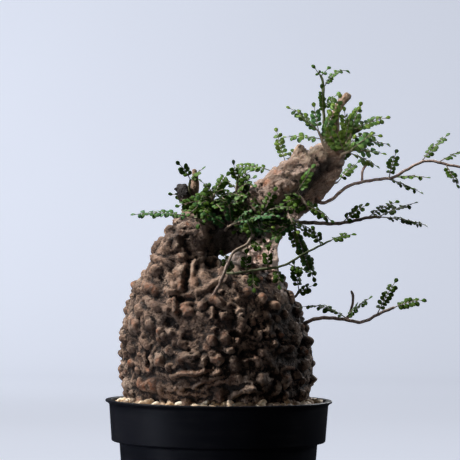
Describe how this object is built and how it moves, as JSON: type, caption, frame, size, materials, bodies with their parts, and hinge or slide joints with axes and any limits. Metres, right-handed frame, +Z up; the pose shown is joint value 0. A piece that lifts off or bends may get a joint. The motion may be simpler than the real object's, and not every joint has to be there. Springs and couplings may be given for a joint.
{
  "type": "operculicarya pachypus bonsai in a pot",
  "caption": "Potted bonsai with a swollen warted caudex, two trunks that lean together into one head, and sprays of small pinnate leaves, set in gravel in a round pot with a deep collar.",
  "frame": {"origin": "middle of the pot's flat foot, on the surface that it stands on", "axes": "+Z up, -Y towards the side shown in the picture, +X towards the side that the limbs and the long twigs lean to"},
  "size_m": [0.2571, 0.15, 0.3519],
  "materials": {
    "pot": "satin",
    "substrate": "matte",
    "gravel": "matte",
    "bark": "matte",
    "leaves": "satin"
  },
  "bodies": {
    "root": {"pot": "pot", "substrate": "substrate", "gravel": "gravel", "caudex": "bark", "left_frond": "leaves", "stump_sprout": "leaves", "left_spray": "leaves", "centre_spray": "leaves", "front_frond": "leaves", "limb_spray": "leaves", "hanging_spray": "leaves", "high_spray": "leaves", "green_twig": "leaves", "front_twig": "leaves", "right_sprig": "leaves", "low_twig": "leaves", "middle_twig": "leaves", "long_twig": "leaves", "head_shoot": "leaves", "head_left": "leaves", "head_right": "leaves", "head_low": "leaves", "ridge_sprig": "leaves", "ridge_frond": "leaves", "limb_leaf": "leaves", "rear_high_spray": "leaves", "rear_middle_spray": "leaves", "rear_left_spray": "leaves", "rear_low_spray": "leaves"}
  },
  "joints": []
}
